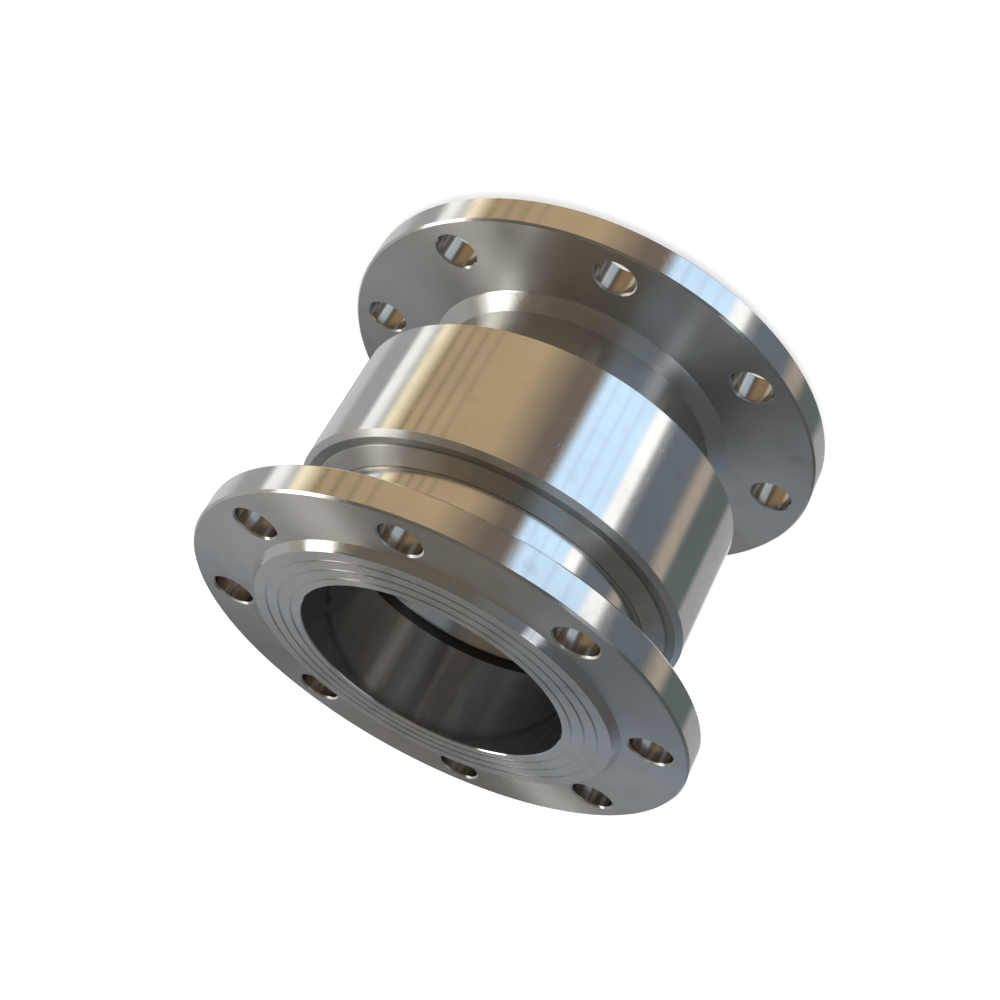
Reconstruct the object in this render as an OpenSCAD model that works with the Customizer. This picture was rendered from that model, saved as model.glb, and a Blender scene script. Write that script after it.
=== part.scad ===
// Rotary joint for a pipeline: two bolted flanges that turn against each other on ball bearings.
// It stands on its rear flange with the axis upright, +Z up; the origin is the centre of the
// rear sealing face. Heights are measured up from that face.

/* [Flanges] */
// Outer diameter of both flanges
flange_d = 280; // [270:1:320]
// Thickness of a flange without its raised face
flange_t = 17; // [14:0.5:24]
// Chamfer on the rim edges of a flange
flange_chamfer = 1.2; // [0.4:0.1:2]
// Height of the raised sealing face
face_h = 4.5; // [2:0.5:6]
// Distance from a bolt hole to the foot of the raised face
face_land = 4.2; // [2:0.1:8]
// Width of the slope round the raised face
face_slope_w = 3.2; // [0.5:0.1:5]
// Distance from the bore to the innermost sealing groove
groove_start = 5.7; // [3:0.1:8]
// Radial distance from one sealing groove to the next
groove_pitch = 7.1; // [5:0.1:8]
// Number of sealing grooves in a raised face
groove_count = 3; // [1:1:3]
// Width of a sealing groove
groove_w = 1.4; // [0.6:0.1:2.4]
// Depth of a sealing groove
groove_depth = 0.8; // [0.4:0.1:1.6]
// Distance from the rim of a flange to its bolt circle
bolt_rim_w = 20; // [16:0.5:26]
// Number of bolt holes in a flange
bolt_count = 8; // [4:4:12]
// Diameter of a bolt hole in the front flange
bolt_hole_d = 23; // [18:0.5:24]
// Diameter of a bolt hole in the rear flange
rear_bolt_hole_d = 22.5; // [18:0.5:24]
// Chamfer on the mouths of a bolt hole
bolt_hole_chamfer = 1; // [0.4:0.1:1.8]
// Angle from the X axis to the first bolt hole of the rear flange
rear_bolt_angle = 22.5; // [0:0.5:45]
// Turn of the front flange against the rear flange at rest
rotor_turn = 13.1; // [0:0.1:45]

/* [Flow bore] */
// Diameter of the bore through the joint
bore_d = 148; // [140:0.5:149]
// Chamfer at the mouths of the bore
bore_chamfer = 0.6; // [0.3:0.1:1.5]

/* [Housing] */
// Wall thickness of the neck between the rear flange and the barrel
neck_wall = 7.7; // [7:0.1:10]
// Length of the neck with its cone
neck_len = 45.5; // [35:0.5:70]
// Width of the cone at the neck's foot, on the flange
neck_cone_w = 8.2; // [3:0.1:12]
// Height of that cone
neck_cone_h = 6.9; // [3:0.1:12]
// Wall thickness of the barrel round the bearings
barrel_wall = 11.4; // [9:0.1:16]
// Width of the chamfer on the front edge of the barrel
barrel_chamfer_w = 3.4; // [1:0.1:4]
// Height of the chamfer on the front edge of the barrel
barrel_chamfer_h = 2.6; // [1:0.1:4]
// Chamfer on the back edge of the barrel
barrel_back_chamfer = 0.5; // [0.2:0.1:1.5]
// Thickness of the barrel's back wall behind the rotor
back_wall = 4; // [3:0.5:10]

/* [End cap] */
// Step from the bearing bore out to the thread of the end cap
cap_step = 2.9; // [2:0.1:4]
// Thickness of the end cap at its rim
cap_t = 10.8; // [9:0.1:14]
// Height by which the end cap rises from its rim towards the collar
cap_rise = 5; // [2:0.1:8]
// Distance by which the top of that rise stands out round the collar
cap_land = 0.5; // [0:0.1:3]
// Height of the spigot under the thread of the end cap
cap_spigot_h = 4; // [3.4:0.2:5]
// Height by which the end cap stands out of the barrel
cap_proud = 1.2; // [0:0.1:2]
// Chamfer on the edges of the end cap
cap_chamfer = 0.4; // [0.2:0.1:1]

/* [Rotor] */
// Wall thickness of the collar behind the front flange
collar_wall = 19.5; // [14:0.5:24]
// Length of the collar
collar_len = 37.8; // [25:0.2:60]
// Chamfer on the back edge of the collar
collar_chamfer = 1.2; // [0.4:0.1:3]
// Running gap between the top of the end cap and the collar
collar_gap = 0.6; // [0.4:0.1:3]
// Wall thickness of the rotor under the bearings
rotor_wall = 6; // [5:0.5:8]
// Step from the bearing seat out to the journal that passes through the end cap
journal_step = 1.4; // [0.5:0.1:3]
// Length of the gap between the rotor and the flow sleeve inside the bore
sleeve_gap = 6.5; // [2:0.5:10]
// Length by which the flow sleeve reaches into the collar
sleeve_reach = 1.8; // [0:0.2:10]
// Lead chamfer on the tail of the rotor
tail_chamfer = 1; // [0.4:0.1:1.5]
// Gap between the tail of the rotor and the back wall
tail_gap = 1; // [0.5:0.1:1.6]

/* [Flow sleeve] */
// Wall thickness of the flow sleeve
sleeve_wall = 2; // [1:0.1:2.2]
// Depth of the socket in the neck that holds the flow sleeve
sleeve_socket = 16; // [10:0.5:24]
// Radial gap between the flow sleeve and the rotor
sleeve_clearance = 0.4; // [0.3:0.05:0.6]

/* [Bearings] */
// Radial section of a bearing, from its bore to its outside
bearing_section = 20; // [18:0.5:22]
// Width of a bearing
bearing_w = 20; // [18:0.5:24]
// Diameter of a ball
ball_d = 12.7; // [11:0.1:13]
// Number of balls in a bearing
ball_count = 24; // [16:1:28]
// Gap between a ball and the groove or pocket it runs in
ball_clearance = 0.15; // [0.12:0.01:0.2]
// Height of the race shoulders beside the groove, measured from the seat
race_shoulder = 6; // [5.5:0.1:6.5]
// Chamfer on the corners of a race
race_chamfer = 1; // [0.5:0.1:1.5]
// Radial thickness of the cage
cage_t = 4.6; // [3:0.1:5]
// Thickness of a shield
shield_t = 1.2; // [0.8:0.1:1.3]
// Gap between a shield and the inner race or the cage
shield_clearance = 0.4; // [0.2:0.05:0.5]
// Distance between the two bearings
spacer_w = 2; // [2:0.5:8]
// Radial thickness of the spacer rings
spacer_t = 5; // [3:0.1:6]

/* [Lock nut] */
// Radial thickness of the lock nut
nut_wall = 10; // [7:0.5:11]
// Height of the lock nut
nut_h = 7; // [5:0.5:12]
// Number of spanner slots in the lock nut
nut_slots = 4; // [4:1:8]
// Width of a spanner slot
nut_slot_w = 9; // [5:0.5:12]
// Depth of a spanner slot
nut_slot_depth = 3.5; // [2:0.1:5]
// Thickness of the lock washer
washer_t = 1.5; // [1:0.1:3]
// Room round the lock nut and behind it
nut_room = 1; // [0.6:0.1:3]

/* [Seals] */
// Width of the groove for the main seal
seal_groove_w = 4.5; // [4:0.1:5]
// Radial depth of the groove for the main seal
seal_groove_depth = 7.1; // [6.5:0.1:8]
// Radial thickness of the main sealing ring
seal_ring_t = 3.2; // [2.5:0.1:3.5]
// Width of the land on each side of the main seal
seal_land = 2.1; // [1.5:0.1:5]
// Radial gap between the lands and the rotor
land_clearance = 0.4; // [0.3:0.05:0.6]
// Height of the dust seal
dust_seal_h = 6.4; // [5:0.1:6.8]
// Radial thickness of the dust seal
dust_seal_t = 6.2; // [4.5:0.1:7]
// Cross-section diameter of the end cap's O-ring
cap_ring_d = 2.3; // [1.8:0.1:2.6]
// Cross-section diameter of the flow sleeve's O-ring
sleeve_ring_d = 2.2; // [1.6:0.1:2.6]

/* [Fits] */
// Gap between a piece and the seat that holds it
seat_gap = 0.15; // [0.12:0.01:0.2]
// Gap between a seal and the rotor that turns in it
seal_gap = 0.2; // [0.15:0.01:0.3]

/* [Hidden] */

polished = [0.74, 0.72, 0.69];
satin = [0.52, 0.51, 0.50];
bearing_steel = [0.80, 0.81, 0.83];
cage_brass = [0.78, 0.62, 0.32];
black_rubber = [0.07, 0.07, 0.07];
white_ptfe = [0.92, 0.92, 0.89];

// Overlap that lets a cutter pass right through a face
past = 1;

// Radii
flange_r = flange_d / 2;
bolt_circle_r = flange_r - bolt_rim_w;
face_foot_r = bolt_circle_r - bolt_hole_d / 2 - face_land;
face_top_r = face_foot_r - face_slope_w;
bore_r = bore_d / 2;
neck_r = bore_r + neck_wall;
collar_r = bore_r + collar_wall;
seat_r = bore_r + rotor_wall;
journal_r = seat_r + journal_step;
nut_r = seat_r + nut_wall;
race_r = seat_r + bearing_section;
pitch_r = (seat_r + race_r) / 2;
cap_r = race_r + cap_step;
barrel_r = race_r + barrel_wall;
sleeve_r = bore_r + sleeve_wall;
barrel_rim_r = barrel_r - barrel_chamfer_w;

// Heights, one on top of the other from the rear sealing face upwards
rear_flange_top = face_h + flange_t;
barrel_bottom = rear_flange_top + neck_len;
chamber_floor = barrel_bottom + back_wall;
rotor_tail = chamber_floor + tail_gap;
seal_bottom = chamber_floor + seal_land;
seal_top = seal_bottom + seal_groove_w;
nut_room_floor = seal_top + seal_land;
nut_bottom = nut_room_floor + nut_room;
washer_bottom = nut_bottom + nut_h;
rear_bearing_bottom = washer_bottom + washer_t;
spacer_bottom = rear_bearing_bottom + bearing_w;
front_bearing_bottom = spacer_bottom + spacer_w;
cap_bottom = front_bearing_bottom + bearing_w;
cap_top = cap_bottom + cap_t;
cap_thread_bottom = cap_bottom + cap_spigot_h;
barrel_top = cap_top - cap_proud;
cap_crown = cap_top + cap_rise;
collar_bottom = cap_crown + collar_gap;
front_flange_bottom = collar_bottom + collar_len;
front_flange_top = front_flange_bottom + flange_t;
sleeve_top = collar_bottom + sleeve_reach;
sleeve_bottom = chamber_floor - sleeve_socket;
rotor_step = sleeve_top + sleeve_gap;

// Room for the O-ring in its groove, along and across
ring_room = 0.15;
// Bore of the end cap round the journal
cap_bore_r = journal_r + land_clearance;
dust_recess_h = dust_seal_h + 2 * seat_gap;
dust_recess_r = journal_r + seal_gap + dust_seal_t + seat_gap;
// Shield seat in an outer race
shield_seat_depth = shield_t + 2 * seat_gap;
shield_seat_r = race_r - race_shoulder + 1;
// Height of the flow sleeve's O-ring above the foot of its socket
sleeve_ring_z = (sleeve_bottom + chamber_floor) / 2;

// Turns an outline of radius and height about the joint's axis
module turned() {
    rotate_extrude($fn = 180) children();
}

// Rectangle of radius and height
module ring_outline(r_in, r_out, z_low, z_high) {
    translate([r_in, z_low]) square([r_out - r_in, z_high - z_low]);
}

// Solid of a flange with its raised face on top, from the axis out; z = 0 is its back plane
module flange_outline() {
    top = flange_t;
    polygon([
        [0, 0],
        [flange_r - flange_chamfer, 0],
        [flange_r, flange_chamfer],
        [flange_r, top - flange_chamfer],
        [flange_r - flange_chamfer, top],
        [face_foot_r, top],
        [face_top_r, top + face_h],
        [0, top + face_h]
    ]);
}

// Sealing grooves and the chamfer of the bore, cut into a raised face; z = 0 is that face
module face_cutter_outline() {
    for (i = [0:groove_count - 1]) {
        r = bore_r + groove_start + i * groove_pitch;
        ring_outline(r - groove_w / 2, r + groove_w / 2, -groove_depth, past);
    }
    polygon([
        [bore_r - past, -bore_chamfer - past],
        [bore_r + past, -bore_chamfer + past],
        [bore_r + past, past],
        [bore_r - past, past]
    ]);
}

// Bolt holes with chamfered mouths; z = 0 is one face of the flange and z = flange_t the other
module bolt_holes(first_angle, hole_d) {
    hole_r = hole_d / 2;
    for (i = [0:bolt_count - 1])
        rotate(first_angle + i * 360 / bolt_count)
            translate([bolt_circle_r, 0, 0]) {
                translate([0, 0, -past]) cylinder(r = hole_r, h = flange_t + 2 * past, $fn = 48);
                bolt_hole_chamfers(hole_r);
            }
}

// Two cones that chamfer a bolt hole on both faces
module bolt_hole_chamfers(hole_r) {
    wide = hole_r + bolt_hole_chamfer + past;
    deep = bolt_hole_chamfer + past;
    translate([0, 0, -past]) cylinder(r1 = wide, r2 = hole_r, h = deep, $fn = 48);
    translate([0, 0, flange_t - bolt_hole_chamfer])
        cylinder(r1 = hole_r, r2 = wide, h = deep, $fn = 48);
}

// Outside of the neck and the barrel, from the axis out
module housing_body_outline() {
    polygon([
        [0, rear_flange_top - past],
        [neck_r + neck_cone_w, rear_flange_top - past],
        [neck_r + neck_cone_w, rear_flange_top],
        [neck_r, rear_flange_top + neck_cone_h],
        [neck_r, barrel_bottom],
        [barrel_r - barrel_back_chamfer, barrel_bottom],
        [barrel_r, barrel_bottom + barrel_back_chamfer],
        [barrel_r, barrel_top - barrel_chamfer_h],
        [barrel_rim_r, barrel_top],
        [0, barrel_top]
    ]);
}

// Inside of the housing: flow bore, sleeve socket, seal groove, room for the nut, bearing bore,
// and the thread of the end cap
module housing_bore_outline() {
    ring_outline(0, bore_r, -past, sleeve_bottom + past);
    ring_outline(0, sleeve_r + seat_gap, sleeve_bottom, chamber_floor + past);
    ring_outline(0, seat_r + land_clearance, chamber_floor, nut_room_floor + past);
    ring_outline(0, seat_r + land_clearance + seal_groove_depth, seal_bottom, seal_top);
    ring_outline(0, nut_r + nut_room, nut_room_floor, rear_bearing_bottom + past);
    ring_outline(0, race_r + seat_gap, rear_bearing_bottom, barrel_top);
    ring_outline(0, cap_r + seat_gap, cap_thread_bottom - seat_gap, barrel_top + past);
    ring_outline(0, sleeve_r + sleeve_ring_d, sleeve_ring_z - sleeve_ring_d / 2 - ring_room,
        sleeve_ring_z + sleeve_ring_d / 2 + ring_room);
}

module housing() {
    color(polished)
    difference() {
        union() {
            translate([0, 0, rear_flange_top]) mirror([0, 0, 1]) turned() flange_outline();
            turned() housing_body_outline();
        }
        turned() housing_bore_outline();
        mirror([0, 0, 1]) turned() face_cutter_outline();
        translate([0, 0, face_h]) bolt_holes(rear_bolt_angle, rear_bolt_hole_d);
    }
}

// Outside of the rotor below its flange, from the axis out
module rotor_body_outline() {
    polygon([
        [0, rotor_tail],
        [seat_r - tail_chamfer, rotor_tail],
        [seat_r, rotor_tail + tail_chamfer],
        [seat_r, cap_bottom],
        [journal_r, cap_bottom],
        [journal_r, collar_bottom],
        [collar_r - collar_chamfer, collar_bottom],
        [collar_r, collar_bottom + collar_chamfer],
        [collar_r, front_flange_bottom + past],
        [0, front_flange_bottom + past]
    ]);
}

// One piece: front flange, collar, journal and the seat of the inner races
module rotor() {
    color(polished)
    difference() {
        union() {
            translate([0, 0, front_flange_bottom]) turned() flange_outline();
            turned() rotor_body_outline();
        }
        turned() {
            ring_outline(0, bore_r, rotor_step - past, front_flange_top + face_h + past);
            ring_outline(0, sleeve_r + sleeve_clearance, rotor_tail - past, rotor_step);
        }
        translate([0, 0, front_flange_top + face_h]) turned() face_cutter_outline();
        translate([0, 0, front_flange_bottom])
            bolt_holes(rear_bolt_angle + rotor_turn, bolt_hole_d);
    }
}

// Threaded ring that closes the barrel and holds the outer races; its face rises in a cone
// towards the collar
module end_cap() {
    spigot_r = race_r;
    ring_z = cap_bottom + cap_spigot_h / 2;
    color(satin)
    turned()
    difference() {
        union() {
            ring_outline(cap_bore_r, spigot_r, cap_bottom, cap_thread_bottom + past);
            polygon([
                [cap_bore_r, cap_thread_bottom],
                [cap_r, cap_thread_bottom],
                [cap_r, cap_top - cap_chamfer],
                [cap_r - cap_chamfer, cap_top],
                [collar_r + cap_land, cap_crown],
                [cap_bore_r + cap_chamfer, cap_crown],
                [cap_bore_r, cap_crown - cap_chamfer]
            ]);
        }
        ring_outline(cap_bore_r - past, dust_recess_r, cap_bottom - past,
            cap_bottom + dust_recess_h);
        ring_outline(spigot_r - cap_ring_d, spigot_r + past, ring_z - cap_ring_d / 2 - ring_room,
            ring_z + cap_ring_d / 2 + ring_room);
    }
}

// Ring of round cross-section at a radius and a height
module o_ring(ring_r, ring_z, section_d) {
    translate([0, 0, ring_z]) rotate_extrude($fn = 128)
        translate([ring_r, 0]) circle(d = section_d, $fn = 32);
}

module end_cap_o_ring() {
    ring_r = race_r - cap_ring_d / 2 + seat_gap / 2;
    color(black_rubber)
    o_ring(ring_r, cap_bottom + cap_spigot_h / 2, cap_ring_d - seat_gap);
}

// Wiper with a stiff back and a lip that leans on the journal
module dust_seal() {
    lip_r = journal_r + seal_gap;
    back_r = lip_r + dust_seal_t;
    low = cap_bottom + seat_gap;
    high = low + dust_seal_h;
    color(black_rubber)
    turned()
    polygon([
        [lip_r + dust_seal_t * 0.45, low],
        [back_r, low],
        [back_r, high],
        [lip_r, high],
        [lip_r, high - dust_seal_h * 0.2],
        [lip_r + dust_seal_t * 0.45, high - dust_seal_h * 0.45]
    ]);
}

// Thin tube that leads the flow past the seals, seated in the neck
module flow_sleeve() {
    color(satin)
    turned()
    polygon([
        [bore_r, sleeve_bottom + seat_gap],
        [sleeve_r, sleeve_bottom + seat_gap],
        [sleeve_r, sleeve_top - bore_chamfer],
        [sleeve_r - bore_chamfer, sleeve_top],
        [bore_r + bore_chamfer, sleeve_top],
        [bore_r, sleeve_top - bore_chamfer]
    ]);
}

module flow_sleeve_o_ring() {
    color(black_rubber)
    o_ring(sleeve_r + sleeve_ring_d / 2, sleeve_ring_z, sleeve_ring_d - 2 * seat_gap);
}

// Rectangle with chamfered corners, for races, spacers and nuts
module chamfered_outline(r_in, r_out, h, c) {
    polygon([
        [r_in, c],
        [r_in + c, 0],
        [r_out - c, 0],
        [r_out, c],
        [r_out, h - c],
        [r_out - c, h],
        [r_in + c, h],
        [r_in, h - c]
    ]);
}

// Round groove that the balls run in
module ball_groove() {
    translate([pitch_r, bearing_w / 2]) circle(r = ball_d / 2 + ball_clearance, $fn = 64);
}

module outer_race(bottom) {
    color(bearing_steel)
    translate([0, 0, bottom])
    turned()
    difference() {
        chamfered_outline(race_r - race_shoulder, race_r, bearing_w, race_chamfer);
        ball_groove();
        ring_outline(pitch_r, shield_seat_r, -past, shield_seat_depth);
        ring_outline(pitch_r, shield_seat_r, bearing_w - shield_seat_depth, bearing_w + past);
    }
}

module inner_race(bottom) {
    color(bearing_steel)
    translate([0, 0, bottom])
    turned()
    difference() {
        chamfered_outline(seat_r + seat_gap, seat_r + race_shoulder, bearing_w, race_chamfer / 2);
        ball_groove();
    }
}

// Ring between the races with one round pocket for each ball
module cage(bottom) {
    low = shield_seat_depth + shield_clearance;
    color(cage_brass)
    translate([0, 0, bottom])
    difference() {
        turned() ring_outline(pitch_r - cage_t / 2, pitch_r + cage_t / 2, low, bearing_w - low);
        for (i = [0:ball_count - 1])
            rotate(i * 360 / ball_count)
                translate([pitch_r - cage_t, 0, bearing_w / 2])
                    rotate([0, 90, 0])
                        cylinder(r = ball_d / 2 + ball_clearance, h = 2 * cage_t, $fn = 48);
    }
}

module balls(bottom) {
    color(bearing_steel)
    for (i = [0:ball_count - 1])
        rotate(i * 360 / ball_count)
            translate([pitch_r, 0, bottom + bearing_w / 2])
                sphere(d = ball_d, $fn = 32);
}

// Flat ring that covers one side of a bearing, held by the outer race
module shield(bottom) {
    color(satin)
    translate([0, 0, bottom])
    turned()
    ring_outline(seat_r + race_shoulder + shield_clearance, shield_seat_r - seat_gap, 0, shield_t);
}

module upper_shield(bearing_bottom) {
    shield(bearing_bottom + bearing_w - shield_t - seat_gap);
}

module lower_shield(bearing_bottom) {
    shield(bearing_bottom + seat_gap);
}

module outer_spacer() {
    color(satin)
    translate([0, 0, spacer_bottom])
    turned() ring_outline(race_r - spacer_t, race_r, 0, spacer_w);
}

module inner_spacer() {
    inner = seat_r + seat_gap;
    color(satin)
    translate([0, 0, spacer_bottom])
    turned() ring_outline(inner, inner + spacer_t, 0, spacer_w);
}

module lock_washer() {
    inner = seat_r + seat_gap;
    color(satin)
    translate([0, 0, washer_bottom])
    turned() ring_outline(inner, nut_r - nut_slot_depth, 0, washer_t);
}

// Round nut on the rotor with spanner slots round its rim
module lock_nut() {
    color(satin)
    translate([0, 0, nut_bottom])
    difference() {
        turned() chamfered_outline(seat_r + seat_gap, nut_r, nut_h, race_chamfer / 2);
        for (i = [0:nut_slots - 1])
            rotate(i * 360 / nut_slots)
                translate([nut_r - nut_slot_depth, -nut_slot_w / 2, -past])
                    cube([nut_slot_depth + past, nut_slot_w, nut_h + 2 * past]);
    }
}

// Sealing ring that runs on the rotor
module seal_ring() {
    lip_r = seat_r + seal_gap;
    color(white_ptfe)
    turned()
    ring_outline(lip_r, lip_r + seal_ring_t, seal_bottom + seat_gap, seal_top - seat_gap);
}

// Elastic ring that presses the sealing ring onto the rotor
module seal_energiser() {
    inner = seat_r + seal_gap + seal_ring_t + seat_gap;
    outer = seat_r + land_clearance + seal_groove_depth - seat_gap;
    color(black_rubber)
    o_ring((inner + outer) / 2, (seal_bottom + seal_top) / 2, outer - inner);
}

housing();
rotor();
end_cap();
end_cap_o_ring();
dust_seal();
flow_sleeve();
flow_sleeve_o_ring();
outer_race(front_bearing_bottom);  // front_outer_race
inner_race(front_bearing_bottom);  // front_inner_race
cage(front_bearing_bottom);  // front_cage
balls(front_bearing_bottom);  // front_balls
upper_shield(front_bearing_bottom);  // front_bearing_upper_shield
lower_shield(front_bearing_bottom);  // front_bearing_lower_shield
outer_race(rear_bearing_bottom);  // rear_outer_race
inner_race(rear_bearing_bottom);  // rear_inner_race
cage(rear_bearing_bottom);  // rear_cage
balls(rear_bearing_bottom);  // rear_balls
upper_shield(rear_bearing_bottom);  // rear_bearing_upper_shield
lower_shield(rear_bearing_bottom);  // rear_bearing_lower_shield
outer_spacer();
inner_spacer();
lock_washer();
lock_nut();
seal_ring();
seal_energiser();
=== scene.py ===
"""Looks of a flanged rotary joint: turned steel, bearing parts, floor, light and camera."""

import math

import bpy
import numpy as np
from bpy.props import FloatProperty, FloatVectorProperty, PointerProperty
from mathutils import Euler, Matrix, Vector


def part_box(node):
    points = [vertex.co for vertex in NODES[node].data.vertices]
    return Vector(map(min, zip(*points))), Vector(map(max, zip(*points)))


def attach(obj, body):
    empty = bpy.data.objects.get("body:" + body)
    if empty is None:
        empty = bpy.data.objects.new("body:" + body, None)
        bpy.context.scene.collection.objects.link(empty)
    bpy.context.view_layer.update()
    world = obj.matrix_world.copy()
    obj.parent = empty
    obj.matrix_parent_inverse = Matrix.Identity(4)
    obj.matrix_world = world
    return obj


bl_info = {
    "name": "Rotary joint looks",
    "version": (1, 0, 0),
    "blender": (4, 5, 0),
    "location": "View3D > Sidebar > Rotary joint",
    "description": "Finishes the pieces of a flanged rotary joint and sets its stage",
    "category": "Object",
}

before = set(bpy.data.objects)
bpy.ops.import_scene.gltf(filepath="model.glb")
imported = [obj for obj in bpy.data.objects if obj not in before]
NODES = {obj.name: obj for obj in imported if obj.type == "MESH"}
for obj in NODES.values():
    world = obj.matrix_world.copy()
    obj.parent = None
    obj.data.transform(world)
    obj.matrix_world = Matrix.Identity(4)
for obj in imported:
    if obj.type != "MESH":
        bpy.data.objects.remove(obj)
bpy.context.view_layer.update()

# Driving dimensions of the solids, in metres
FACE_H = 0.0045
FLANGE_T = 0.0170
NECK_LEN = 0.0455
COLLAR_GAP = 0.0006
COLLAR_WALL = 0.0195
SLEEVE_GAP = 0.0065
SLEEVE_WALL = 0.0020
END_FACE_W = 0.0051
BOLT_RIM_W = 0.0200
BOLT_HOLE_R = 0.0115
# A tenth of a millimetre, the unit of the margins between a zone's edge and the solid's
TENTH = 0.0001


def top(name):
    """Height of a node's top above the rear sealing face."""
    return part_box(name)[1].z


def outside(name):
    """Outer radius of a node that lies round the axis."""
    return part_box(name)[1].x


# Heights of the machined zones
REAR_FLANGE_BOTTOM = FACE_H
REAR_FLANGE_TOP = REAR_FLANGE_BOTTOM + FLANGE_T
BARREL_BOTTOM = REAR_FLANGE_TOP + NECK_LEN
BARREL_TOP = top("housing")
COLLAR_BOTTOM = top("end_cap") + COLLAR_GAP
SLEEVE_TOP = top("flow_sleeve")
RECESS_TOP = SLEEVE_TOP + SLEEVE_GAP
FRONT_FACE = top("rotor")
FRONT_FLANGE_TOP = FRONT_FACE - FACE_H
FRONT_FLANGE_BOTTOM = FRONT_FLANGE_TOP - FLANGE_T

# Radii of the machined zones
SLEEVE_R = outside("flow_sleeve")
BORE_R = SLEEVE_R - SLEEVE_WALL
COLLAR_R = BORE_R + COLLAR_WALL
CAP_SEAT_R = outside("end_cap")
END_FACE_R = CAP_SEAT_R + END_FACE_W
BOLT_R = outside("housing") - BOLT_RIM_W
# Half the widths of the rings that hold the bolt holes, without and with their chamfers
HOLE_REACH = BOLT_HOLE_R + 10 * TENTH
MOUTH_REACH = BOLT_HOLE_R + 20 * TENTH


# Shader maths


class Value:
    """A number on a node socket. Arithmetic on it adds the Math nodes that work it out."""

    def __init__(self, shader, socket):
        self.shader = shader
        self.socket = socket

    def maths(self, operation, *others, flip=False):
        """One Math node of this value and the others, or of the others first when flipped."""
        values = (*others, self) if flip else (self, *others)
        return self.shader.node("ShaderNodeMath", {"operation": operation}, dict(enumerate(values)))

    def __add__(self, other):
        return self.maths("ADD", other)

    __radd__ = __add__

    def __sub__(self, other):
        return self.maths("SUBTRACT", other)

    def __rsub__(self, other):
        return self.maths("SUBTRACT", other, flip=True)

    def __mul__(self, other):
        return self.maths("MULTIPLY", other)

    __rmul__ = __mul__

    def __truediv__(self, other):
        return self.maths("DIVIDE", other)

    def __abs__(self):
        return self.maths("ABSOLUTE")

    def sqrt(self):
        return self.maths("SQRT")

    def least(self, other):
        return self.maths("MINIMUM", other)

    def most(self, other):
        return self.maths("MAXIMUM", other)

    def rise(self, low, high, to_low=0.0, to_high=1.0):
        """Goes smoothly from to_low to to_high as the value goes from low to high."""
        settings = {"interpolation_type": "SMOOTHSTEP"}
        inputs = {0: self, 1: low, 2: high, 3: to_low, 4: to_high}
        return self.shader.node("ShaderNodeMapRange", settings, inputs)

    def band(self, low, high, edge):
        """1 between low and high and 0 outside, with soft edges of the given width."""
        return self.rise(low - edge, low + edge) * self.rise(high - edge, high + edge, 1.0, 0.0)


class Shader:
    """The node tree of a material or of the world."""

    def __init__(self, owner):
        owner.use_nodes = True
        self.tree = owner.node_tree
        self.tree.nodes.clear()

    def node(self, kind, settings=None, inputs=None, output=0):
        """Adds a node with its settings first and then its sockets, and returns one of its outputs."""
        node = self.tree.nodes.new(kind)
        for name, value in (settings or {}).items():
            setattr(node, name, value)
        for name, value in (inputs or {}).items():
            self.feed(node.inputs[name], value)
        return Value(self, node.outputs[output]) if len(node.outputs) else None

    def feed(self, socket, value):
        """Links a value to a socket, or writes a plain number, colour or vector on it."""
        if isinstance(value, Value):
            self.tree.links.new(value.socket, socket)
        else:
            socket.default_value = value

    def ramp(self, factor, stops):
        """A colour ramp with stops of position and linear colour."""
        out = self.node("ShaderNodeValToRGB", None, {0: factor})
        ramp = out.socket.node.color_ramp
        while len(ramp.elements) > 1:
            ramp.elements.remove(ramp.elements[-1])
        for i, (position, colour) in enumerate(stops):
            element = ramp.elements[0] if i == 0 else ramp.elements.new(position)
            element.position = position
            element.color = (*colour, 1.0)
        return out

    def mix(self, factor, first, second, blend="MIX"):
        """Mixes two colours by a factor."""
        settings = {"data_type": "RGBA", "blend_type": blend}
        first, second = ((*c, 1.0) if isinstance(c, tuple) and len(c) == 3 else c for c in (first, second))
        return self.node("ShaderNodeMix", settings, {0: factor, 6: first, 7: second}, 2)

    def parts(self, vector):
        """The x, y and z of a vector."""
        split = self.node("ShaderNodeSeparateXYZ", None, {0: vector})
        return [Value(self, socket) for socket in split.socket.node.outputs]

    def vector(self, x, y, z):
        """A vector or grey colour of three values."""
        return self.node("ShaderNodeCombineXYZ", None, {0: x, 1: y, 2: z})

    def noise(self, vector, scale, detail):
        """A noise of 0 to 1 round 0.5."""
        return self.node("ShaderNodeTexNoise", None, {"Vector": vector, "Scale": scale, "Detail": detail})


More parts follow.
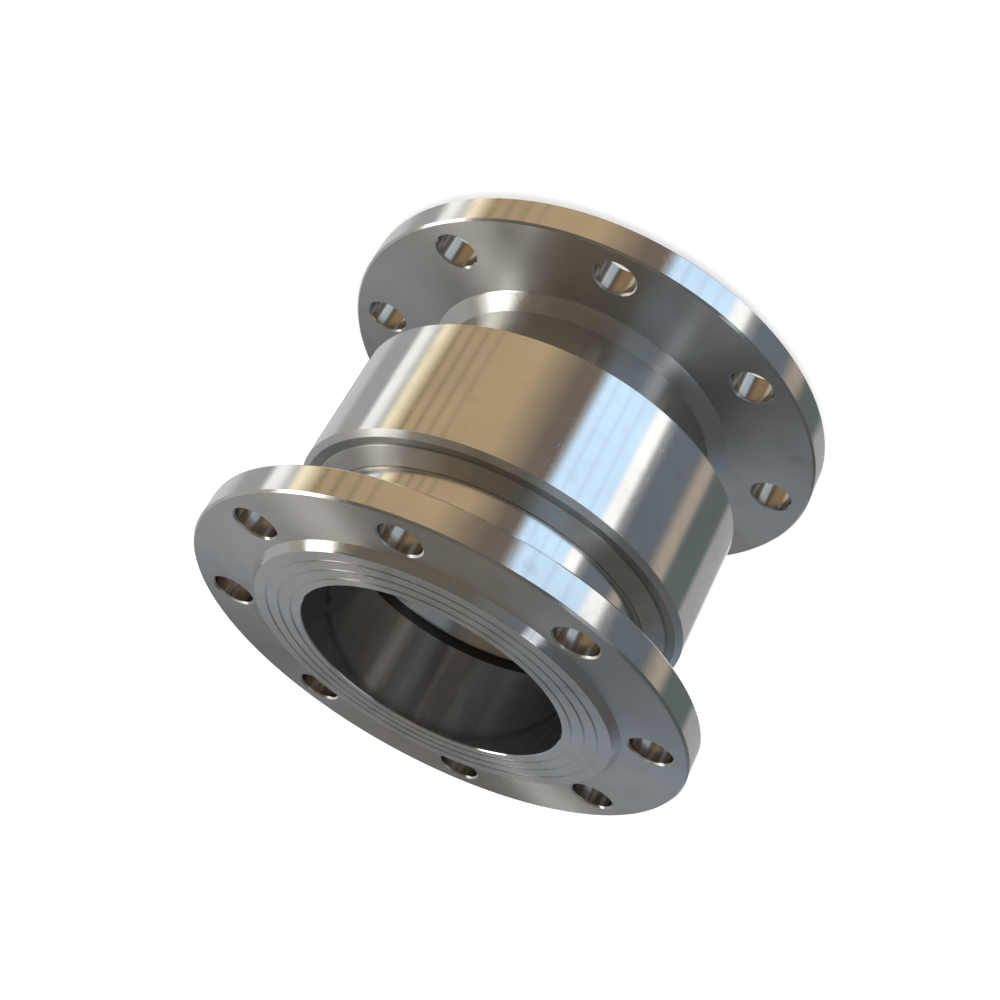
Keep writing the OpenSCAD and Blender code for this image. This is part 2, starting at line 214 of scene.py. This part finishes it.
class Surface:
    """Places and patterns that the materials share, from an object's own coordinates.

    radius is the distance from the joint's axis, height the distance along it and angle the turn round it.
    """

    def __init__(self, shader):
        self.shader = shader
        self.place = shader.node("ShaderNodeTexCoord", None, None, "Object")
        self.x, self.y, self.height = shader.parts(self.place)
        self.radius = (self.x * self.x + self.y * self.y).sqrt()
        self.angle = self.y.maths("ARCTAN2", self.x)

    def turned(self, pitch, drift, detail):
        """Lines of the given pitch round the axis on faces and cylinders alike, as a lathe leaves them.

        They wander by drift along each line, and alike on both sides of the X axis, so no seam shows.
        """
        vector = self.shader.vector(self.radius / pitch, self.height / pitch, abs(self.angle) * drift)
        return self.shader.noise(vector, 1.0, detail)

    def scratches(self, heading, length):
        """Sparse fine scratches of the given length, mostly along one heading across the axis."""
        width = 0.0006
        depth = 0.004
        bend = self.cloud(0.04, 1.0) * 0.004
        along = self.x * math.cos(heading) + self.y * math.sin(heading)
        across = self.y * math.cos(heading) - self.x * math.sin(heading)
        vector = self.shader.vector(along / length, (across + bend) / width, self.height / depth)
        return self.shader.noise(vector, 1.0, 1.0).rise(0.66, 0.74)

    def cloud(self, size, detail):
        """Soft blotches of the given size."""
        return self.shader.noise(self.place, 1.0 / size, detail)


# Settings that a user would change


class SteelSettings(bpy.types.PropertyGroup):
    """Colour and finish of the turned steel."""

    colour: FloatVectorProperty(
        name="Steel colour",
        description="Colour of clean turned steel",
        subtype="COLOR",
        size=3,
        min=0.0,
        max=1.0,
        default=(0.74, 0.73, 0.715),
    )
    roughness: FloatProperty(
        name="Roughness of cylinders",
        description="Roughness of the barrel, the collar and the flange rims",
        min=0.02,
        max=1.0,
        default=0.075,
    )
    face_roughness: FloatProperty(
        name="Roughness of faces",
        description="Roughness of the flat turned faces",
        min=0.02,
        max=1.0,
        default=0.36,
    )
    anisotropy: FloatProperty(
        name="Anisotropy",
        description="How far the turned lay stretches a reflection across its lines",
        min=0.0,
        max=1.0,
        default=1.0,
    )
    lay: FloatProperty(
        name="Lay pitch",
        description="Distance between the marks of the turning tool",
        unit="LENGTH",
        min=0.00005,
        max=0.005,
        default=0.0006,
    )


class StageSettings(bpy.types.PropertyGroup):
    """Floor, light and camera."""

    camera_place: FloatVectorProperty(
        name="Camera place",
        description="Where the camera stands",
        subtype="TRANSLATION",
        unit="LENGTH",
        default=(-0.36819, -0.66210, 0.50797),
    )
    camera_turn: FloatVectorProperty(
        name="Camera turn",
        description="Angles of the camera about X, Y and Z",
        subtype="EULER",
        unit="ROTATION",
        default=(math.radians(-58.2221), math.radians(25.4128), math.radians(164.9375)),
    )
    lens: FloatProperty(
        name="Focal length",
        description="Focal length on a sensor 36 mm wide, in millimetres",
        min=10.0,
        max=300.0,
        default=57.25,
    )
    floor_radius: FloatProperty(
        name="Floor radius",
        description="Radius of the round floor",
        unit="LENGTH",
        min=1.0,
        default=6.0,
    )


# Materials

# Anisotropic rotation, in turns, that stretches reflections across the lathe's lines
ALONG_LAY = 0.25
# Least roughness of a metal
SMOOTHEST = 0.05


def finish(shader, settings, inputs):
    """Ends a material with a Principled shader: settings are constants and inputs are what varies."""
    surface = shader.node("ShaderNodeBsdfPrincipled", None, {**settings, **inputs})
    shader.node("ShaderNodeOutputMaterial", None, {"Surface": surface})


def bump(shader, height, distance):
    """The normal of a surface whose height varies by the distance."""
    return shader.node("ShaderNodeBump", None, {"Distance": distance, "Height": height})


class SteelZones:
    """Masks of the zones that are machined in their own way, some of which also carry painted shade, 1
    inside a zone and 0 outside.
    """

    def __init__(self, place):
        shader, radius, height = place.shader, place.radius, place.height
        upright = abs(shader.parts(shader.node("ShaderNodeTexCoord", None, None, "Normal"))[2])
        self.face = upright.rise(0.80, 0.97)
        self.chamfer = upright.band(0.30, 0.86, 0.04)
        self.bolt_mouths = radius.band(BOLT_R - MOUTH_REACH, BOLT_R + MOUTH_REACH, 3 * TENTH)
        in_rear = height.band(REAR_FLANGE_BOTTOM + 7 * TENTH, REAR_FLANGE_TOP - 8 * TENTH, 2 * TENTH)
        in_front = height.band(FRONT_FLANGE_BOTTOM + 8 * TENTH, FRONT_FLANGE_TOP - 8 * TENTH, 2 * TENTH)
        by_holes = radius.band(BOLT_R - HOLE_REACH, BOLT_R + HOLE_REACH, 3 * TENTH)
        self.bolt_hole = (in_rear + in_front).least(1.0) * by_holes
        # The bore, which also carries painted shade
        self.bore = radius.rise(BORE_R - 4 * TENTH, BORE_R + 6 * TENTH, 1.0, 0.0)
        over_barrel = height.band(BARREL_TOP - 2 * TENTH, BARREL_TOP + 42 * TENTH, TENTH)
        self.end_face = radius.band(CAP_SEAT_R, END_FACE_R, 2 * TENTH) * over_barrel
        self.raised = height.rise(FRONT_FACE - 9 * TENTH, FRONT_FACE - 7 * TENTH)
        self.groove = self.raised * height.rise(FRONT_FACE - 2 * TENTH, FRONT_FACE - 0.5 * TENTH, 1.0, 0.0)
        # The recess behind the flow sleeve, which carries painted shade
        by_sleeve = radius.band(SLEEVE_R - 4 * TENTH, SLEEVE_R + 8 * TENTH, 2 * TENTH)
        self.recess = by_sleeve * height.band(SLEEVE_TOP - 10 * TENTH, RECESS_TOP - TENTH, TENTH)
        self.neck = height.band(REAR_FLANGE_TOP + 4 * TENTH, BARREL_BOTTOM - 4 * TENTH, 4 * TENTH)


class SteelMarks:
    """Patterns that the lathe and the handling left on the steel, of 0 to 1."""

    def __init__(self, place, lay):
        self.fine = place.turned(lay, 0.6, 2.0)
        self.coarse = place.turned(lay * 9, 0.15, 1.0)
        self.cloud = place.cloud(0.035, 3.0)
        self.smudge = place.cloud(0.012, 4.0)
        self.speck = place.cloud(0.0016, 2.0)
        self.scratch = place.scratches(0.7, 0.03).most(place.scratches(2.3, 0.045))
        self.stain = self.cloud.rise(0.55, 0.68) * self.smudge.rise(0.50, 0.62) * self.speck.rise(0.35, 0.65)


def steel_tone(shader, zones, marks, clean):
    """Colour of the turned steel: the clean colour with marks, painted shade in the bore and the recess, a
    darker end face.
    """
    tone = shader.mix(marks.cloud.rise(0.35, 0.7), clean, tuple(c * 0.92 for c in clean))
    tone = shader.mix(marks.smudge.rise(0.55, 0.8) * 0.25, tone, (0.58, 0.54, 0.49))
    tone = shader.mix(marks.stain * 0.12, tone, (0.80, 0.76, 0.69))
    tone = shader.mix(marks.scratch * zones.face * 0.20, tone, (0.90, 0.88, 0.85))
    # Painted shade: the bore is darkened and a little bluish, and the recess behind the flow sleeve is
    # nearly black; the barrel's end face is darker too
    shade = (1 - 0.60 * zones.bore) * (1 - 0.38 * zones.end_face) * (1 - 0.88 * zones.recess)
    return shader.mix(1.0, tone, shader.vector(shade, shade, shade * (1 + 0.06 * zones.bore)), "MULTIPLY")


def steel_roughness(zones, marks, steel):
    """Roughness of the turned steel: dull faces, bright cylinders, and the marks on both."""
    rough = steel.roughness + zones.face * (steel.face_roughness - steel.roughness)
    rough = rough - zones.raised * zones.face * 0.10 - zones.groove * 0.14
    rough = rough + zones.neck * 0.13 - zones.bore * 0.03 + zones.recess * 0.4
    rough = rough + zones.chamfer * (0.04 + 0.20 * zones.bolt_mouths)
    rough = rough + (marks.fine - 0.5) * 0.03 + (marks.coarse - 0.5) * 0.03 + (marks.cloud - 0.5) * 0.04
    rough = rough + marks.stain * 0.05 + marks.smudge.rise(0.5, 0.72) * 0.035
    return rough.most(SMOOTHEST)


def turned_steel(steel):
    """Steel fresh from the lathe: lines round the axis, polished grooves, satin neck and handling marks.

    The bolt holes are drilled, so their walls have an even finish in place of the lathe's lines; their
    darker, browner colour is painted shade with a painted brown reflection. The bore is not quite a metal,
    so it stays dark grey and not black where light bounces along it many times. The bore and the recess
    behind the flow sleeve are darkened with painted shade.
    """
    material = bpy.data.materials.new("turned_steel")
    shader = Shader(material)
    place = Surface(shader)
    zones = SteelZones(place)
    marks = SteelMarks(place, steel.lay)
    lines = (marks.fine * 0.6 + marks.coarse * 0.4) * (1 + 1.5 * zones.face)
    lines = lines + marks.speck * zones.face * 0.5 - marks.scratch * 1.2
    lathe = shader.node(
        "ShaderNodeBsdfPrincipled",
        None,
        {
            "Metallic": 1 - 0.10 * zones.bore,
            "Anisotropic": steel.anisotropy,
            "Anisotropic Rotation": ALONG_LAY,
            "Base Color": steel_tone(shader, zones, marks, tuple(steel.colour)),
            "Roughness": steel_roughness(zones, marks, steel),
            "Normal": bump(shader, lines, 0.000004),
        },
    )
    # Bolt hole walls: a drilled finish, and a darker, browner colour that is painted shade with a painted
    # brown reflection
    drilled_with_painted_shade = shader.node(
        "ShaderNodeBsdfPrincipled",
        None,
        {
            "Metallic": 1.0,
            "Base Color": shader.mix(marks.cloud.rise(0.3, 0.7), (0.44, 0.40, 0.36), (0.36, 0.32, 0.28)),
            "Roughness": 0.20 + (place.cloud(1 / 900, 2.0) - 0.5) * 0.12,
        },
    )
    both = shader.node("ShaderNodeMixShader", None, {0: zones.bolt_hole, 1: lathe, 2: drilled_with_painted_shade})
    shader.node("ShaderNodeOutputMaterial", None, {"Surface": both})
    return material


def machined_metal(name, colour, roughness, lay, anisotropy):
    """A smaller turned piece: fine lines round the axis and a slightly uneven tone."""
    material = bpy.data.materials.new(name)
    shader = Shader(material)
    place = Surface(shader)
    fine = place.turned(lay, 0.8, 2.0)
    cloud = place.cloud(0.02, 3.0)
    tone = shader.mix(cloud.rise(0.3, 0.75), colour, tuple(c * 0.86 for c in colour))
    rough = roughness + (fine - 0.5) * 0.12 + (cloud - 0.5) * 0.10
    finish(
        shader,
        {"Metallic": 1.0, "Anisotropic": anisotropy, "Anisotropic Rotation": ALONG_LAY},
        {"Base Color": tone, "Roughness": rough.most(SMOOTHEST), "Normal": bump(shader, fine, 0.00001)},
    )
    return material


def soft_material(name, colour, roughness, grain):
    """Rubber or plastic of the seals: an even colour with a fine grain and a little dust."""
    material = bpy.data.materials.new(name)
    shader = Shader(material)
    place = Surface(shader)
    speck = place.cloud(grain, 4.0)
    dust = place.cloud(0.015, 3.0).rise(0.5, 0.8)
    tone = shader.mix(dust * 0.15, colour, tuple(min(1.0, c + 0.08) for c in colour))
    rough = roughness + (speck - 0.5) * 0.15
    finish(
        shader,
        {"Metallic": 0.0, "IOR": 1.5},
        {"Base Color": tone, "Roughness": rough, "Normal": bump(shader, speck, 0.00003)},
    )
    return material


def turned_ring(name, profile, steps=256):
    """A ring turned round the axis: profile point (r, z) goes to (r cos a, r sin a, z).

    The angles are a = 2 pi j / steps. The profile is a closed loop that runs anticlockwise in (r, z), so the
    faces point outwards.
    """
    r, z = np.asarray(profile, float).T
    a = np.arange(steps)[:, None] * 2 * np.pi / steps
    points = np.stack([r * np.cos(a), r * np.sin(a), z + 0 * a], -1).reshape(-1, 3)
    count = len(r)
    j, i = np.meshgrid(np.arange(steps), np.arange(count), indexing="ij")
    after, up = (j + 1) % steps, (i + 1) % count
    corners = (j * count + i, after * count + i, after * count + up, j * count + up)
    quads = np.stack(corners, -1).reshape(-1, 4)
    mesh = bpy.data.meshes.new(name)
    mesh.from_pydata(points.tolist(), [], quads.tolist())
    mesh.shade_smooth()
    mesh.set_sharp_from_angle(angle=math.radians(40))
    obj = bpy.data.objects.new(name, mesh)
    bpy.context.collection.objects.link(obj)
    return obj


def dress(material, *names):
    """Gives CAD nodes a material in place of the one they were packed with."""
    for name in names:
        for slot in NODES[name].material_slots:
            slot.material = material


# Operators


class JOINT_OT_steel_bodies(bpy.types.Operator):
    """Finishes the housing and the rotor in turned steel"""

    bl_idname = "joint.steel_bodies"
    bl_label = "Steel bodies"

    def execute(self, context):
        dress(turned_steel(context.scene.joint_steel), "housing", "rotor")
        return {"FINISHED"}


class JOINT_OT_collar_edge(bpy.types.Operator):
    """Makes the polished lip on the collar's back edge, just clear of the end cap"""

    bl_idname = "joint.collar_edge"
    bl_label = "Collar edge"

    def execute(self, context):
        inner_r = COLLAR_R - 16 * TENTH
        low = COLLAR_BOTTOM - 4 * TENTH
        high = COLLAR_BOTTOM + 14 * TENTH
        edge = 3 * TENTH
        turn = np.linspace(0, 0.5 * np.pi, 6)
        corner = [(COLLAR_R - edge + edge * np.sin(t), low + edge - edge * np.cos(t)) for t in turn]
        lip = turned_ring("collar_edge", [(inner_r, low), *corner, (COLLAR_R, high), (inner_r, high)])
        lip.data.materials.append(machined_metal("polished_edge", (0.84, 0.83, 0.81), 0.16, 0.0004, 0.8))
        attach(lip, "rotor")
        return {"FINISHED"}


class JOINT_OT_machined_rings(bpy.types.Operator):
    """Finishes the end cap, the flow sleeve, the nut and the thin rings in satin steel"""

    bl_idname = "joint.machined_rings"
    bl_label = "Machined rings"

    def execute(self, context):
        satin = machined_metal("satin_steel", (0.64, 0.62, 0.59), 0.37, 0.0005, 1.0)
        dress(satin, "end_cap", "flow_sleeve", "lock_nut", "lock_washer", "outer_spacer", "inner_spacer")
        for end in ("front", "rear"):
            dress(satin, end + "_bearing_upper_shield", end + "_bearing_lower_shield")
        return {"FINISHED"}


class JOINT_OT_bearings(bpy.types.Operator):
    """Finishes the races and balls in ground steel and the cages in brass"""

    bl_idname = "joint.bearings"
    bl_label = "Bearings"

    def execute(self, context):
        ground = machined_metal("bearing_steel", (0.78, 0.785, 0.80), 0.14, 0.0003, 0.4)
        balls = machined_metal("ball_steel", (0.82, 0.825, 0.84), 0.07, 0.002, 0.0)
        brass = machined_metal("cage_brass", (0.76, 0.56, 0.27), 0.28, 0.0004, 0.5)
        for end in ("front", "rear"):
            dress(ground, end + "_outer_race", end + "_inner_race")
            dress(balls, end + "_balls")
            dress(brass, end + "_cage")
        return {"FINISHED"}


class JOINT_OT_seals(bpy.types.Operator):
    """Finishes the seals and O-rings in rubber and the sealing ring in white plastic"""

    bl_idname = "joint.seals"
    bl_label = "Seals"

    def execute(self, context):
        rubber = soft_material("black_rubber", (0.022, 0.022, 0.023), 0.55, 0.0008)
        dress(rubber, "end_cap_o_ring", "dust_seal", "flow_sleeve_o_ring", "seal_energiser")
        dress(soft_material("white_ptfe", (0.86, 0.86, 0.83), 0.38, 0.0015), "seal_ring")
        return {"FINISHED"}


# Plain colours of the walls, which stand below eye height
PALE_WALL = (0.45, 0.45, 0.45)
GREY_WALL = (0.30, 0.30, 0.30)
WHITE_PAINT = (0.85, 0.85, 0.85)
DOOR = (0.05, 0.05, 0.05)
SLATE = (0.10, 0.12, 0.12)
STONE = (0.12, 0.14, 0.16)
BOARD = (0.35, 0.30, 0.25)
DAYLIGHT = (1.0, 1.0, 1.0)
SKY = (0.60, 0.80, 1.0)
BEAM = (0.15, 0.12, 0.10)
WOOD = (0.40, 0.30, 0.18)
LAMP = (0.95, 0.85, 0.60)
# Plain colours of the soft light above eye height
SOFT_LIGHT = (0.35, 0.35, 0.35)
SOFT_GREY = (0.25, 0.25, 0.25)
COOL_GREY = (0.15, 0.20, 0.25)
SHADE = (0.08, 0.08, 0.08)
DAY_GLOW = (0.25, 0.30, 0.35)
WOOD_SHADE = (0.12, 0.10, 0.08)
WARM_GLOW = (0.30, 0.30, 0.25)

# Room by compass angle in degrees. The walls go from a pale wall past a dark door, a grey wall, slate,
# board, stone, a window and beams round to wood, a lamp and paint.
WALLS = [
    (12, GREY_WALL), (20, PALE_WALL), (44, PALE_WALL), (47, DOOR), (71, DOOR), (75, WHITE_PAINT),
    (85, GREY_WALL), (116, GREY_WALL), (121, SLATE), (144, SLATE), (149, BOARD), (155, BOARD),
    (162, STONE), (183, STONE), (189, GREY_WALL), (192, DAYLIGHT), (198, DAYLIGHT), (201, SKY),
    (231, SKY), (235, GREY_WALL), (238, BEAM), (247, BEAM), (270, WOOD), (325, WOOD), (334, LAMP),
    (339, PALE_WALL), (345, WHITE_PAINT), (351, WHITE_PAINT), (354, GREY_WALL),
]
UPPER = [
    (0, SOFT_LIGHT), (50, SOFT_GREY), (90, COOL_GREY), (120, SHADE), (185, SHADE), (200, DAY_GLOW),
    (230, DAY_GLOW), (242, WOOD_SHADE), (322, WOOD_SHADE), (338, WARM_GLOW), (352, WARM_GLOW),
]
CEILING = (0.105, 0.095, 0.078)
COOL_CEILING = (0.072, 0.083, 0.094)
ZENITH = (0.17, 0.14, 0.10)
SKIRTING = (0.05, 0.06, 0.08)
# Sines of elevation: from where to where each part of the room gives way to the next, and the dark skirting
WALL_ENDS = (-0.20, 0.10)
UPPER_ENDS = (0.40, 0.80)
CEILING_ENDS = (0.90, 0.99)
SKIRTING_BAND = (-0.38, -0.22)
# Compass angles of the blind on the wood, the barred window, the cool ceiling and the skirting
BLIND_SECTOR = (292, 326)
BARS_SECTOR = (202, 232)
COOL_SECTOR = (85, 212)
SKIRTING_SECTOR = (104, 350)
# Slats of the blind and bars of the window: pitch and place of one of them, in degrees, and colour
SLAT_PITCH, SLAT_AT, SLAT_COLOUR = 8.6, 323, (0.15, 0.12, 0.085)
BAR_PITCH, BAR_AT, BAR_COLOUR = 9, 208, (0.36, 0.46, 0.62)
# Lit panes: first and last compass angle, lowest and highest sine of elevation, and colour before PANE_LIGHT
PANES = [
    (190, 201, -0.05, 0.70, (0.12, 0.13, 0.14)),
    (331, 348, -0.05, 0.58, (0.27, 0.26, 0.245)),
    (332, 353, 0.58, 0.80, (0.52, 0.51, 0.48)),
    (146, 192, 0.78, 0.93, (0.058, 0.062, 0.067)),
]
PANE_LIGHT = 6.0


def studio_world(world):
    """The room round the joint, as metal sees it.

    The colour goes by the compass direction, in upright bands of wall and window. The walls stand below eye
    height, a soft upper part above it and the ceiling over all. Other light is an even soft white, and the
    camera sees plain white.
    """
    shader = Shader(world)
    x, y, z = shader.parts(shader.node("ShaderNodeTexCoord", None, None, "Generated"))
    turn = (y.maths("ARCTAN2", x) / (2 * math.pi)).maths("FRACT")

    def sector(start, end, edge=2):
        """1 between two compass angles, with soft edges, in degrees."""
        return turn.band(start / 360, end / 360, edge / 360)

    def stripes(pitch, at, sharpness):
        """Upright stripes with one of them at the given compass angle, in degrees."""
        return ((turn - at / 360) * (360 / pitch * 2 * math.pi)).maths("COSINE").rise(sharpness, 1.0)

    def ring(stops):
        """Colours all round the compass."""
        return shader.ramp(turn, [(angle / 360, colour) for angle, colour in stops])

    # The slats grow stronger round the room, from 280 to 325 degrees
    slats = stripes(SLAT_PITCH, SLAT_AT, 0.1) * sector(*BLIND_SECTOR)
    slats = slats * turn.rise(280 / 360, 325 / 360, 0.12, 0.55)
    bars = stripes(BAR_PITCH, BAR_AT, 0.3) * sector(*BARS_SECTOR) * 0.22
    walls = shader.mix(slats, ring(WALLS), SLAT_COLOUR)
    walls = shader.mix(bars, walls, BAR_COLOUR)
    ceiling = shader.mix(sector(*COOL_SECTOR, 14), CEILING, COOL_CEILING)
    room = shader.mix(z.rise(*WALL_ENDS), walls, ring(UPPER))
    room = shader.mix(z.rise(*UPPER_ENDS), room, ceiling)
    room = shader.mix(z.rise(*CEILING_ENDS), room, ZENITH)
    skirting = z.band(*SKIRTING_BAND, 0.015) * sector(*SKIRTING_SECTOR, 3) * 0.85
    room = shader.mix(skirting, room, SKIRTING)
    for start, end, low, high, colour in PANES:
        pane = sector(start, end) * z.band(low, high, 0.05)
        room = shader.mix(pane, room, tuple(c * PANE_LIGHT for c in colour))
    camera = shader.node("ShaderNodeLightPath", None, None, "Is Camera Ray")
    glossy = shader.node("ShaderNodeLightPath", None, None, "Is Glossy Ray")
    colour = shader.mix(glossy, (0.80, 0.80, 0.80), room)
    seen = shader.node("ShaderNodeBackground", None, {"Color": colour, "Strength": 1 + 0.4 * glossy})
    white = shader.node("ShaderNodeBackground", None, {"Color": (1, 1, 1, 1), "Strength": 1.0})
    out = shader.node("ShaderNodeMixShader", None, {0: camera, 1: seen, 2: white})
    shader.node("ShaderNodeOutputWorld", None, {"Surface": out})


def floor_material():
    """Pale floor that the camera sees as white, with the joint's soft shadow on it."""
    material = bpy.data.materials.new("floor")
    shader = Shader(material)
    camera = shader.node("ShaderNodeLightPath", None, None, "Is Camera Ray")
    glow = shader.node("ShaderNodeEmission", None, {"Color": (1, 1, 1, 1), "Strength": camera * 0.55})
    matte = shader.node("ShaderNodeBsdfDiffuse", None, {"Color": (0.72, 0.72, 0.72, 1)})
    out = shader.node("ShaderNodeAddShader", None, {0: glow, 1: matte})
    shader.node("ShaderNodeOutputMaterial", None, {"Surface": out})
    return material


def disc(name, radius, rings, steps):
    """A flat disc with one point in its middle and the others on rings of steps points, evenly spaced."""
    r = np.linspace(0, 1, rings + 1)[1:, None] * radius
    a = np.arange(steps) * 2 * np.pi / steps
    points = np.stack([r * np.cos(a), r * np.sin(a), np.zeros((rings, steps))], -1).reshape(-1, 3)
    points = np.vstack([points, [[0, 0, 0]]])
    k, j = np.meshgrid(np.arange(rings - 1), np.arange(steps), indexing="ij")
    n = (j + 1) % steps
    corners = (k * steps + j, (k + 1) * steps + j, (k + 1) * steps + n, k * steps + n)
    quads = np.stack(corners, -1).reshape(-1, 4)
    hub = np.stack([np.full(steps, len(points) - 1), np.arange(steps), (np.arange(steps) + 1) % steps], -1)
    mesh = bpy.data.meshes.new(name)
    mesh.from_pydata(points.tolist(), [], quads.tolist() + hub.tolist())
    obj = bpy.data.objects.new(name, mesh)
    bpy.context.collection.objects.link(obj)
    return obj


def softbox():
    """A broad soft lamp above the camera's left shoulder, which metal doesn't reflect."""
    lamp = bpy.data.lights.new("softbox", "AREA")
    lamp.energy = 8.0
    lamp.size = 1.2
    box = bpy.data.objects.new("softbox", lamp)
    box.location = (-0.7, -0.5, 1.6)
    target = Vector((0, 0, 0.1))
    box.rotation_euler = (target - box.location).to_track_quat("-Z", "Y").to_euler()
    box.visible_glossy = False
    bpy.context.collection.objects.link(box)


def photo_camera(stage):
    """The camera, where the photographer stood."""
    lens = bpy.data.cameras.new("camera")
    lens.lens = stage.lens
    lens.sensor_width = 36.0
    lens.clip_start = 0.01
    camera = bpy.data.objects.new("camera", lens)
    camera.location = stage.camera_place
    camera.rotation_euler = Euler(stage.camera_turn, "XYZ")
    bpy.context.collection.objects.link(camera)
    return camera


class JOINT_OT_stage(bpy.types.Operator):
    """Makes the floor, the light and the camera"""

    bl_idname = "joint.stage"
    bl_label = "Stage"

    def execute(self, context):
        scene = context.scene
        scene.view_settings.view_transform = "Standard"
        floor = disc("floor", scene.joint_stage.floor_radius, 8, 64)
        floor.data.materials.append(floor_material())
        floor.visible_glossy = False
        scene.world = bpy.data.worlds.new("studio")
        studio_world(scene.world)
        # Light sampled from the world isn't a glossy ray, and would put its even white on the metal
        scene.world.cycles.sampling_method = "NONE"
        softbox()
        scene.camera = photo_camera(scene.joint_stage)
        return {"FINISHED"}


class JOINT_PT_panel(bpy.types.Panel):
    """Lists the operators of the rotary joint"""

    bl_idname = "JOINT_PT_panel"
    bl_label = "Rotary joint"
    bl_space_type = "VIEW_3D"
    bl_region_type = "UI"
    bl_category = "Rotary joint"

    def draw(self, context):
        for operator in OPERATORS:
            self.layout.operator(operator.bl_idname)


OPERATORS = [
    JOINT_OT_steel_bodies,
    JOINT_OT_collar_edge,
    JOINT_OT_machined_rings,
    JOINT_OT_bearings,
    JOINT_OT_seals,
    JOINT_OT_stage,
]
CLASSES = [SteelSettings, StageSettings, *OPERATORS, JOINT_PT_panel]


def register():
    for cls in CLASSES:
        bpy.utils.register_class(cls)
    bpy.types.Scene.joint_steel = PointerProperty(type=SteelSettings)
    bpy.types.Scene.joint_stage = PointerProperty(type=StageSettings)


def unregister():
    del bpy.types.Scene.joint_stage
    del bpy.types.Scene.joint_steel
    for cls in reversed(CLASSES):
        bpy.utils.unregister_class(cls)


def main():
    """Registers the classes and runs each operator."""
    register()
    bpy.ops.joint.steel_bodies()
    bpy.ops.joint.collar_edge()
    bpy.ops.joint.machined_rings()
    bpy.ops.joint.bearings()
    bpy.ops.joint.seals()
    bpy.ops.joint.stage()


if __name__ == "__main__":
    main()
